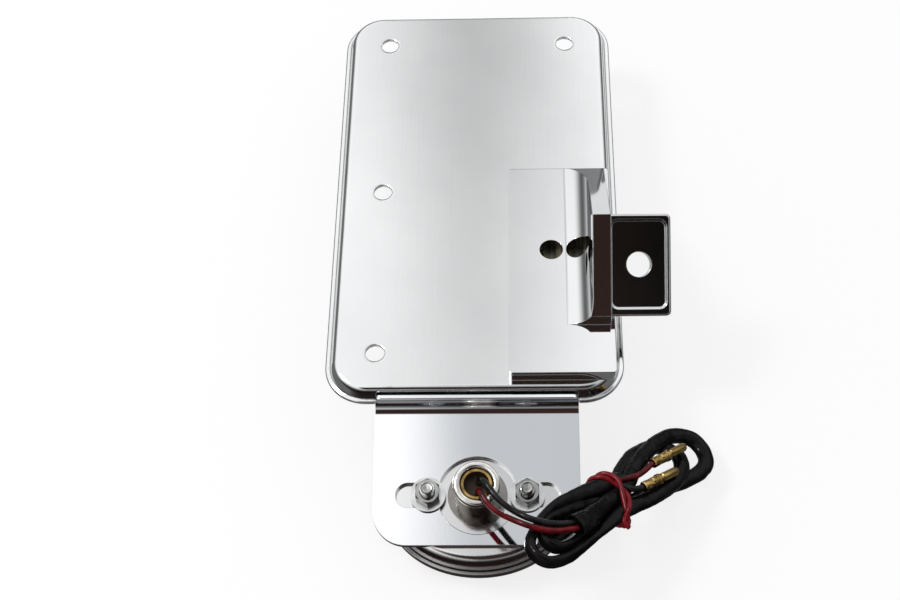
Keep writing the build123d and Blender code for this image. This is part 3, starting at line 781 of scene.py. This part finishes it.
def paint_hole_shade(finish):
    tree = finish.node_tree
    place = add_node(tree, "TexCoord", {}).outputs["Object"]
    flat = vector_calculated(tree, "MULTIPLY", place, (1.0, 1.0, 0.0))
    away = [vector_calculated(tree, "DISTANCE", flat, (x, y, 0.0)) for x, y in BRACKET_HOLES]
    within = [calculated(tree, "LESS_THAN", distance, HOLE_SHADE_R) for distance in away]
    height = add_node(tree, "SeparateXYZ", {0: place}).outputs["Z"]
    low_enough = calculated(tree, "LESS_THAN", height, HOLE_SHADE_TOP)
    inside = calculated(tree, "MULTIPLY", calculated(tree, "MAXIMUM", *within), low_enough)
    streaks = noise(finish, 900.0, 3.0, stretch=(1, 0.04, 0.04))
    # Painted shade: a dark colour with lighter streaks, mixed in inside the holes.
    bare = mixed_colour(tree, ranged(finish, streaks, 0.0, 1.0), HOLE_SHADE_DARK, HOLE_SHADE_LIGHT)
    colour = mixed_colour(tree, inside, linked_to(finish, "Base Color"), bare)
    shader_link(finish, colour, "Base Color")
    gloss = add_node(tree, "Mix", {0: inside, 2: linked_to(finish, "Roughness"), 3: HOLE_SHADE_ROUGHNESS},
                     data_type="FLOAT")
    shader_link(finish, gloss.outputs[0], "Roughness")


for holed in (pan_chrome, bracket_chrome):
    paint_hole_shade(holed)
# The print counts the holes that get painted shade.
print("bare steel in", len(BRACKET_HOLES), "holes")

# %% [markdown]
# ## Zinc, nickel and brass
# The nuts and the bulb holder are plated steel, a shade duller than chrome, with a fine satin
# grain. The washers are plain zinc. The plugs and the bulb's contacts are brass, with darker
# patches where it tarnishes.

# %% Plated steel and brass
def plated(name, dark, light, roughness, grain=0.000012):
    finish = new_finish(name, metallic=1.0)
    toned(finish, noise(finish, 260.0, 4.0), dark, light)
    roughened(finish, noise(finish, 420.0, 3.0, offset=(3, 1, 2)), *roughness)
    bumped(finish, [(noise(finish, 300.0, 2.0), 2.5 * grain), (noise(finish, 5200.0, 2.0), grain)])
    return finish


nut_plate = plated("zinc_nuts", (0.30, 0.30, 0.295), (0.50, 0.50, 0.49), (0.05, 0.11), 0.0000012)
washer_plate = plated("zinc_washers", (0.64, 0.65, 0.65), (0.80, 0.805, 0.80), (0.16, 0.28),
                      0.000004)
stud_plate = plated("zinc_studs", (0.30, 0.30, 0.29), (0.72, 0.72, 0.70), (0.07, 0.16), 0.000002)
tube_plate = plated("nickel_tube", (0.62, 0.60, 0.57), (0.80, 0.79, 0.76), (0.10, 0.22), 0.000005)
brass = plated("brass_contacts", (0.24, 0.145, 0.04), (0.58, 0.41, 0.15), (0.12, 0.26), 0.000005)
spring_steel = plated("spring_steel", (0.45, 0.44, 0.42), (0.68, 0.67, 0.64), (0.18, 0.32))
print("plated finishes ready")

# %% [markdown]
# The bulb holder's tube is painted darker on its side than on its rolled rim: painted shade, for the
# dark that its side reflects. The painted band lies between two heights above the shelf, which
# slopes, so the height is measured along the shelf's own upward direction.

# %% Painted shade on the side of the tube
TUBE_SHADE_FROM, TUBE_SHADE_TO = -1.4 * MM, 11.4 * MM
TUBE_SHADE_FADE = 0.6 * MM
TUBE_SHADE_COLOUR = (0.26, 0.245, 0.23)


def paint_tube_shade(finish):
    tree = finish.node_tree
    place = add_node(tree, "TexCoord", {}).outputs["Object"]
    from_lamp = vector_calculated(tree, "SUBTRACT", place, LAMP.translation)
    height = vector_calculated(tree, "DOT_PRODUCT", from_lamp, SHELF_UP)
    above = ranged(finish, height, 0.0, 1.0, TUBE_SHADE_FROM, TUBE_SHADE_FROM + TUBE_SHADE_FADE)
    below = ranged(finish, height, 1.0, 0.0, TUBE_SHADE_TO - TUBE_SHADE_FADE, TUBE_SHADE_TO)
    between = calculated(tree, "MULTIPLY", above, below)
    colour = mixed_colour(tree, between, linked_to(finish, "Base Color"), TUBE_SHADE_COLOUR)
    shader_link(finish, colour, "Base Color")


paint_tube_shade(tube_plate)
# The tube's side now carries painted shade.
print("tube stained")

# %% [markdown]
# ## Plastics, rubber, board, glass and lens
# The sleeve is soft black tube: nearly black, glossy where it is stretched and duller where it has
# been handled. The wires shine more evenly. The lens is a clear red moulding, and the bulb is thin
# glass.

# %% Black sleeve
sleeve_black = new_finish("black_sleeve_tube", more={"Specular IOR Level": 0.11})
toned(sleeve_black, noise(sleeve_black, 120.0, 4.0), (0.002, 0.002, 0.002), (0.006, 0.006, 0.006))
roughened(sleeve_black, noise(sleeve_black, 260.0, 4.0, offset=(1, 5, 2)), 0.08, 0.20)
bumped(sleeve_black, [(noise(sleeve_black, 300.0, 2.0), 0.00025),
                      (noise(sleeve_black, 2400.0, 2.0), 0.000006)])
print("sleeve finish ready")


# %% Wire insulation in black and in red
def insulation(name, dark, light, roughness):
    finish = new_finish(name, more={"Specular IOR Level": 0.22})
    toned(finish, noise(finish, 300.0, 3.0), dark, light)
    roughened(finish, noise(finish, 600.0, 3.0), *roughness)
    bumped(finish, [(noise(finish, 700.0, 3.0), 0.00004)])
    return finish


wire_black_skin = insulation("black_insulation", (0.003, 0.003, 0.003), (0.010, 0.010, 0.010),
                             (0.12, 0.22))
# The red leads' colour is partly real red insulation and partly painted shade: it is made darker for
# the shade beneath the black lead.
wire_red_skin = insulation("red_insulation", (0.035, 0.001, 0.002), (0.115, 0.002, 0.005),
                           (0.14, 0.24))
tie_red_skin = insulation("red_tie_insulation", (0.09, 0.002, 0.005), (0.20, 0.005, 0.009),
                          (0.16, 0.28))
print("insulation ready")

# %% Rubber and brown board
rubber = new_finish("black_gasket_rubber")
toned(rubber, noise(rubber, 200.0, 3.0), (0.012, 0.012, 0.012), (0.03, 0.03, 0.03))
roughened(rubber, noise(rubber, 500.0, 3.0), 0.55, 0.75)
bumped(rubber, [(noise(rubber, 3000.0, 2.0), 0.00003)])

board = new_finish("brown_contact_board")
toned(board, noise(board, 900.0, 4.0, stretch=(1, 0.2, 1)), (0.030, 0.016, 0.009),
      (0.080, 0.044, 0.024))
roughened(board, noise(board, 400.0, 3.0), 0.4, 0.6)
bumped(board, [(noise(board, 2500.0, 2.0, stretch=(1, 0.2, 1)), 0.00002)])
print("rubber and board ready")

# %% Glass, and a red lens with moulded ribs
bulb_glass = new_finish("bulb_glass_clear", roughness=0.03,
                        more={"Transmission Weight": 1.0, "IOR": 1.5})
toned(bulb_glass, noise(bulb_glass, 300.0, 2.0), (0.90, 0.92, 0.91), (0.97, 0.98, 0.98))
bumped(bulb_glass, [(noise(bulb_glass, 260.0, 2.0), 0.00003)])

lens_red = new_finish("red_lens_moulding", roughness=0.08,
                      more={"Transmission Weight": 0.75, "IOR": 1.49})
toned(lens_red, noise(lens_red, 90.0, 3.0), (0.42, 0.006, 0.010), (0.62, 0.02, 0.02))
lens_place = add_node(lens_red.node_tree, "TexCoord", {}).outputs["Object"]
ribs = add_node(lens_red.node_tree, "TexWave", {"Vector": lens_place, "Scale": 95.0},
                bands_direction="X")
bumped(lens_red, [(ribs.outputs["Fac"], 0.00035), (noise(lens_red, 900.0, 2.0), 0.00002)])
print("finishes made:", len(bpy.data.materials))

# %% [markdown]
# ## Who wears what
# Each CAD node keeps its mesh, and its material slots are filled with the new finish. Each new
# piece gets its finish, rides on the one body, and hides the CAD node it stands for.

# %% Finishes on the CAD nodes
CAD_FINISH = {
    "plate_pan": pan_chrome, "side_bracket": bracket_chrome, "lamp_bracket": shelf_chrome,
    "lamp_housing": housing_chrome, "lamp_bezel": bezel_chrome, "lamp_lens": lens_red,
    "lens_screws": nut_plate, "stud_nuts": nut_plate, "stud_washers": washer_plate,
    "bulb_holder": tube_plate, "holder_eyelet": brass, "holder_insulator": board,
    "contact_spring": spring_steel, "contact_pad": brass, "bulb_base": brass,
    "bulb_glass": bulb_glass, "bulb_filament": spring_steel,
}
for node, finish in CAD_FINISH.items():
    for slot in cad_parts[node].material_slots:
        slot.material = finish
print("finished", len(CAD_FINISH), "CAD nodes")


# %% New pieces: finish, body and the node each stands for
def place_piece(piece, finish, slot, *nodes):
    piece.data.materials.clear()
    piece.data.materials.append(finish)
    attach(piece, "root")
    if nodes:
        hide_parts(*nodes)


place_piece(wire_black, wire_black_skin, "black_wire", "lead_black")
place_piece(wire_red, wire_red_skin, "red_wire", "lead_red")
place_piece(sleeve, sleeve_black, "black_sleeve", "wire_sleeve_hank")
place_piece(tie, tie_red_skin, "red_wire", "tie_band")
place_piece(tail_red, wire_red_skin, "red_wire", "tail_red")
place_piece(tail_black, wire_black_skin, "black_wire", "tail_black")
place_piece(plug_on_red, brass, "brass", "plug_red")
place_piece(plug_on_black, brass, "brass", "plug_black")
place_piece(studs, stud_plate, "zinc", "lamp_studs")
place_piece(gasket, rubber, "black_rubber", "lamp_gasket")
place_piece(fold_strip, fold_chrome, "chrome_pressed")
print("new pieces placed on root")

# %% [markdown]
# ## The cords' facts
# Each lead is about 5 cm from the tube to the sleeve's mouth. The sleeve, traced turn by turn
# through its five passes, is 0.39 m and ends in the two plugs.

print("cords declared:", wire_black.name, wire_red.name, sleeve.name)

# %% [markdown]
# ## The stage
# The holder stands on a plain pale floor. The floor's camera and transmission rays are lifted
# towards white, so the background is white and the shadow stays soft. In front of the object the
# floor reflects dark, as the unlit side of a photo tent does: that is what blackens every face
# turned to the front. Beside the object it reflects a dark grey, which draws the line round the
# pan's bead. Seen from below the floor is clear, so the underside can be looked at.

# %% Floor
FLOOR_Z = cad_box[0].z - 0.0004
FLOOR_SIZE = 40.0
FLOOR_COLOUR = (0.88, 0.88, 0.88, 1.0)
FLOOR_LIFT = 0.78
FLOOR_MIDDLE_X = (cad_box[0].x + cad_box[1].x) / 2
FLOOR_HALF_WIDTH = 0.078
SIDE_DARKNESS = 0.84
DARK_STARTS_Y, DARK_FULL_Y = -0.02, -0.10
UNLIT = (0.014, 0.009, 0.008, 1.0)

floor = start_piece("floor", bpy.ops.mesh.primitive_plane_add, size=FLOOR_SIZE,
                    location=(0, 0, FLOOR_Z))
floor_finish = new_finish("floor_white", roughness=0.9,
                          more={"Base Color": FLOOR_COLOUR, "Specular IOR Level": 0.0})
floor_tree = floor_finish.node_tree
floor_ray = add_node(floor_tree, "LightPath", {}).outputs
floor_place = add_node(floor_tree, "TexCoord", {}).outputs["Object"]
floor_axes = add_node(floor_tree, "SeparateXYZ", {0: floor_place}).outputs

floor_seen = calculated(floor_tree, "MAXIMUM", floor_ray["Is Camera Ray"],
                        floor_ray["Is Transmission Ray"])
white_light = add_node(floor_tree, "Emission", {"Color": (*WHITE, 1.0)}).outputs[0]
pale = mixed_shader(floor_tree, calculated(floor_tree, "MULTIPLY", floor_seen, FLOOR_LIFT),
                    shader_of(floor_finish).outputs[0], white_light)

front_share = smooth_step(floor_tree, floor_axes["Y"], DARK_STARTS_Y, DARK_FULL_Y)
below_holder = calculated(floor_tree, "COMPARE", floor_axes["X"], FLOOR_MIDDLE_X, FLOOR_HALF_WIDTH)
side_share = calculated(floor_tree, "MULTIPLY_ADD", below_holder, -SIDE_DARKNESS, SIDE_DARKNESS)
dark_share = calculated(floor_tree, "MAXIMUM", front_share, side_share)
unlit_light = add_node(floor_tree, "Emission", {"Color": UNLIT}).outputs[0]
dark_mirrored = calculated(floor_tree, "MULTIPLY", dark_share, floor_ray["Is Glossy Ray"])
from_above = mixed_shader(floor_tree, dark_mirrored, pale, unlit_light)

from_below = add_node(floor_tree, "NewGeometry", {}).outputs["Backfacing"]
clear = add_node(floor_tree, "BsdfTransparent", {}).outputs[0]
floor_tree.links.new(mixed_shader(floor_tree, from_below, from_above, clear),
                     floor_tree.nodes["Material Output"].inputs["Surface"])
floor.data.materials.append(floor_finish)
print("floor at z", round(FLOOR_Z, 4))

# %% [markdown]
# ## The light tent
# Chrome needs something to show. The world is a white tent with darker places, seen only in
# reflections: the side that the flange mirrors, nearly black; a cool grey from the middle to the
# right, on the pan's flat; a soft grey band above its far end; the low front; and the sky near the
# floor. Plain surfaces see an even white sky instead.

# %% Directions in the tent
world = bpy.data.worlds.new("light_tent")
bpy.context.scene.world = world
world.use_nodes = True
tent_tree = world.node_tree
tent_tree.nodes.clear()
direction = add_node(tent_tree, "TexCoord", {}).outputs["Generated"]
tent_axes = add_node(tent_tree, "SeparateXYZ", {0: direction}).outputs


def part_along(axis, start, end):
    """0 where the direction's part along that axis is start, 1 where it is end."""
    return smooth_step(tent_tree, tent_axes[axis], start, end)


def both(first, second):
    return calculated(tent_tree, "MULTIPLY", first, second)


UNLIT_SIDE = Vector((0.10, -0.56, 0.82)).normalized()
UNLIT_STARTS, UNLIT_FULL = 0.87, 0.95
BAND_MIDDLE_X = -0.026
turned_to_it = vector_calculated(tent_tree, "DOT_PRODUCT", direction, UNLIT_SIDE)
unlit_side = smooth_step(tent_tree, turned_to_it, UNLIT_STARTS, UNLIT_FULL)
low_front = both(part_along("Y", -0.05, -0.45), part_along("Z", 0.75, 0.45))
low_sky = part_along("Z", 0.62, 0.05)
from_middle = calculated(tent_tree, "ADD", tent_axes["X"], -BAND_MIDDLE_X)
off_band = calculated(tent_tree, "ABSOLUTE", from_middle)
grey_band = both(smooth_step(tent_tree, off_band, 0.085, 0.0), part_along("Y", 0.25, 0.72))
cool_side = both(part_along("X", -0.080, -0.025), part_along("Y", 0.42, 0.2))
brown_share = part_along("X", 0.30, 0.18)
print("tent has", len(tent_tree.nodes), "nodes so far")

# %% Brightness and colour of the tent
TENT_STRENGTH = 1.20
SKY_STRENGTH = 0.80
COOL_WHITE = (0.955, 0.975, 1.0)
UNLIT_GREY = (0.006, 0.0055, 0.005)
UNLIT_BROWN = (0.034, 0.020, 0.016)


def background(colour, strength=1.0):
    return add_node(tent_tree, "Background", {"Color": colour, "Strength": strength}).outputs[0]


brightness = 1.0
for place, darkness in ((low_sky, 0.86), (grey_band, 0.43), (cool_side, 0.46), (low_front, 0.5)):
    brightness = both(brightness, calculated(tent_tree, "SUBTRACT", 1.0, both(place, darkness)))
tent_colour = mixed_colour(tent_tree, cool_side, WHITE, COOL_WHITE)
tent_light = background(tent_colour, both(brightness, TENT_STRENGTH))
unlit = background(mixed_colour(tent_tree, brown_share, UNLIT_GREY, UNLIT_BROWN))
mirrored = mixed_shader(tent_tree, unlit_side, tent_light, unlit)

tent_ray = add_node(tent_tree, "LightPath", {}).outputs
even_sky = background((*WHITE, 1.0), SKY_STRENGTH)
lit = mixed_shader(tent_tree, tent_ray["Is Glossy Ray"], even_sky, mirrored)
tent_seen = calculated(tent_tree, "MAXIMUM", tent_ray["Is Camera Ray"],
                       tent_ray["Is Transmission Ray"])
surface = mixed_shader(tent_tree, tent_seen, lit, background((*WHITE, 1.0)))
add_node(tent_tree, "OutputWorld", {"Surface": surface})
print("tent has", len(tent_tree.nodes), "nodes")

# %% [markdown]
# ## Lamps
# One soft key stands up and to the left. It is small enough to leave a crisp white line on the
# black wires.

# %% Key lamp
KEY_PLACE = (-0.75, 0.10, 1.0)
KEY_AIM = (-0.04, 0.0, 0.0)
KEY_SIZE = 0.30
KEY_POWER = 6.0

key_light = bpy.data.lights.new("key", "AREA")
key_light.shape = "SQUARE"
key_light.size = KEY_SIZE
key_light.energy = KEY_POWER
key = bpy.data.objects.new("key", key_light)
bpy.context.scene.collection.objects.link(key)
key.location = KEY_PLACE
key.rotation_euler = (Vector(KEY_AIM) - Vector(KEY_PLACE)).to_track_quat("-Z", "Y").to_euler()
print("key lamp at", KEY_PLACE)
